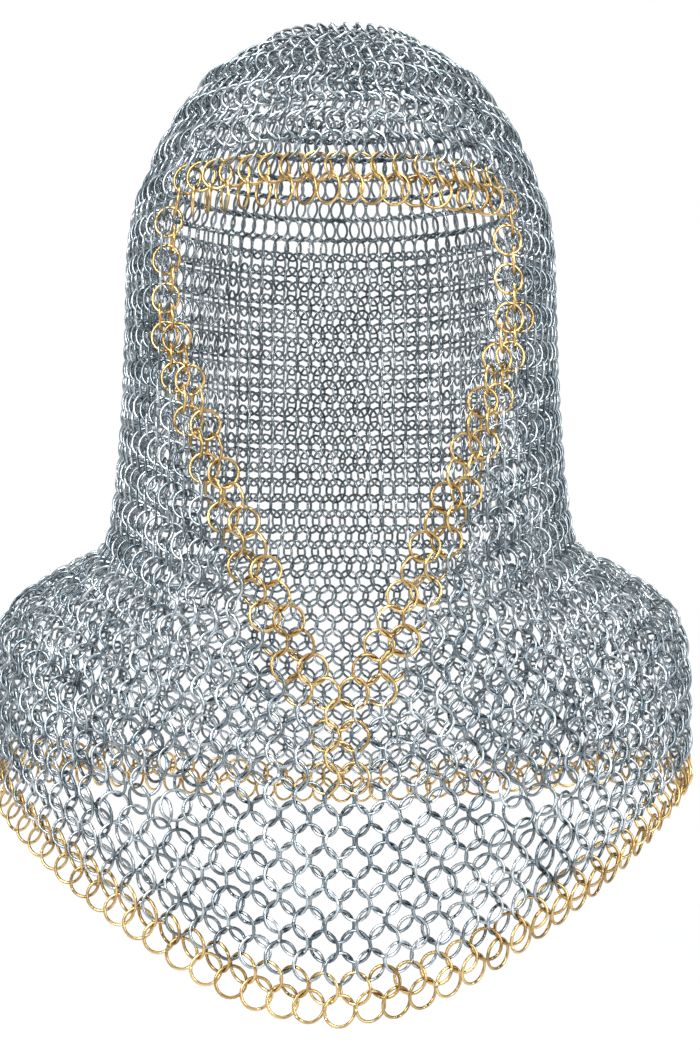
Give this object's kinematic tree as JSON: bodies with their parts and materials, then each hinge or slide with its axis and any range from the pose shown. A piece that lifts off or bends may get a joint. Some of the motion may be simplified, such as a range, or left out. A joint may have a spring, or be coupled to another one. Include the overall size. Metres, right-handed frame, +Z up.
{
  "type": "chainmail coif",
  "caption": "Hood of interlinked butted steel rings with a pointed face opening and a shoulder mantle, edged in brass rings.",
  "frame": {"origin": "crown of the head under the mail, on the hood's vertical middle line", "axes": "+Z up, the face opening looks along -Y, +X to the wearer's left"},
  "size_m": [0.3076, 0.2051, 0.4013],
  "materials": {
    "steel_wire": "zinc-plated drawn wire, bright on top and dark between the rings",
    "brass_wire": "drawn brass wire, warm and slightly dulled"
  },
  "bodies": {
    "mail": {"crown_rings": "steel_wire", "crown_left_even_rings": "steel_wire", "crown_left_odd_rings": "steel_wire", "crown_right_even_rings": "steel_wire", "crown_right_odd_rings": "steel_wire", "upper_hood_left_even_rings": "steel_wire", "upper_hood_left_odd_rings": "steel_wire", "upper_hood_right_even_rings": "steel_wire", "upper_hood_right_odd_rings": "steel_wire", "face_left_even_rings": "steel_wire", "face_left_odd_rings": "steel_wire", "face_right_even_rings": "steel_wire", "face_right_odd_rings": "steel_wire", "neck_left_even_rings": "steel_wire", "neck_left_odd_rings": "steel_wire", "neck_right_even_rings": "steel_wire", "neck_right_odd_rings": "steel_wire", "shoulder_left_even_rings": "steel_wire", "shoulder_left_odd_rings": "steel_wire", "shoulder_right_even_rings": "steel_wire", "shoulder_right_odd_rings": "steel_wire", "mantle_left_even_rings": "steel_wire", "mantle_left_odd_rings": "steel_wire", "mantle_right_even_rings": "steel_wire", "mantle_right_odd_rings": "steel_wire", "brow_edge": "brass_wire", "left_face_edge": "brass_wire", "right_face_edge": "brass_wire", "throat_tail": "brass_wire", "upper_hem_edge": "brass_wire", "lower_hem_edge": "brass_wire"},
    "free_ring_1": {"free_ring_1": "brass_wire"},
    "free_ring_2": {"free_ring_2": "brass_wire"},
    "free_ring_3": {"free_ring_3": "brass_wire"},
    "free_ring_4": {"free_ring_4": "brass_wire"},
    "free_ring_5": {"free_ring_5": "brass_wire"},
    "free_ring_6": {"free_ring_6": "brass_wire"},
    "free_ring_7": {"free_ring_7": "brass_wire"},
    "free_ring_8": {"free_ring_8": "brass_wire"},
    "free_ring_9": {"free_ring_9": "brass_wire"},
    "free_ring_10": {"free_ring_10": "brass_wire"},
    "free_ring_11": {"free_ring_11": "brass_wire"},
    "free_ring_12": {"free_ring_12": "brass_wire"},
    "free_ring_13": {"free_ring_13": "brass_wire"},
    "free_ring_14": {"free_ring_14": "brass_wire"},
    "free_ring_15": {"free_ring_15": "brass_wire"},
    "free_ring_16": {"free_ring_16": "brass_wire"}
  },
  "joints": [
    {"name": "ring_swing_1", "type": "hinge", "parent": "mail", "child": "free_ring_1", "pos_m": [-0.06223, -0.05985, -0.08605], "axis": [0.0903, -0.9959, 0], "range_deg": [-12, 8]},
    {"name": "ring_swing_2", "type": "hinge", "parent": "mail", "child": "free_ring_2", "pos_m": [-0.05569, -0.06572, -0.08605], "axis": [0.1907, -0.9817, 0], "range_deg": [-12, 8]},
    {"name": "ring_swing_3", "type": "hinge", "parent": "mail", "child": "free_ring_3", "pos_m": [-0.04846, -0.07098, -0.08605], "axis": [0.2903, -0.9569, 0], "range_deg": [-12, 8]},
    {"name": "ring_swing_4", "type": "hinge", "parent": "mail", "child": "free_ring_4", "pos_m": [-0.0406, -0.07554, -0.08605], "axis": [0.3877, -0.9218, 0], "range_deg": [-12, 8]},
    {"name": "ring_swing_5", "type": "hinge", "parent": "mail", "child": "free_ring_5", "pos_m": [-0.03219, -0.07932, -0.08605], "axis": [0.4818, -0.8763, 0], "range_deg": [-12, 8]},
    {"name": "ring_swing_6", "type": "hinge", "parent": "mail", "child": "free_ring_6", "pos_m": [-0.02333, -0.08222, -0.08605], "axis": [0.5711, -0.8209, 0], "range_deg": [-12, 8]},
    {"name": "ring_swing_7", "type": "hinge", "parent": "mail", "child": "free_ring_7", "pos_m": [-0.01413, -0.0842, -0.08605], "axis": [0.6545, -0.756, 0], "range_deg": [-12, 8]},
    {"name": "ring_swing_8", "type": "hinge", "parent": "mail", "child": "free_ring_8", "pos_m": [-0.00473, -0.0852, -0.08605], "axis": [0.7309, -0.6825, 0], "range_deg": [-12, 8]},
    {"name": "ring_swing_9", "type": "hinge", "parent": "mail", "child": "free_ring_9", "pos_m": [0.00473, -0.0852, -0.08605], "axis": [0.7991, -0.6013, 0], "range_deg": [-12, 8]},
    {"name": "ring_swing_10", "type": "hinge", "parent": "mail", "child": "free_ring_10", "pos_m": [0.01413, -0.0842, -0.08605], "axis": [0.8582, -0.5133, 0], "range_deg": [-12, 8]},
    {"name": "ring_swing_11", "type": "hinge", "parent": "mail", "child": "free_ring_11", "pos_m": [0.02333, -0.08222, -0.08605], "axis": [0.9076, -0.4199, 0], "range_deg": [-12, 8]},
    {"name": "ring_swing_12", "type": "hinge", "parent": "mail", "child": "free_ring_12", "pos_m": [0.03219, -0.07932, -0.08605], "axis": [0.9466, -0.3223, 0], "range_deg": [-12, 8]},
    {"name": "ring_swing_13", "type": "hinge", "parent": "mail", "child": "free_ring_13", "pos_m": [0.0406, -0.07554, -0.08605], "axis": [0.9751, -0.2217, 0], "range_deg": [-12, 8]},
    {"name": "ring_swing_14", "type": "hinge", "parent": "mail", "child": "free_ring_14", "pos_m": [0.04846, -0.07098, -0.08605], "axis": [0.9928, -0.1197, 0], "range_deg": [-12, 8]},
    {"name": "ring_swing_15", "type": "hinge", "parent": "mail", "child": "free_ring_15", "pos_m": [0.05569, -0.06572, -0.08605], "axis": [0.9998, -0.0173, 0], "range_deg": [-12, 8]},
    {"name": "ring_swing_16", "type": "hinge", "parent": "mail", "child": "free_ring_16", "pos_m": [0.06223, -0.05985, -0.08605], "axis": [0.9965, 0.084, 0], "range_deg": [-12, 8]}
  ]
}
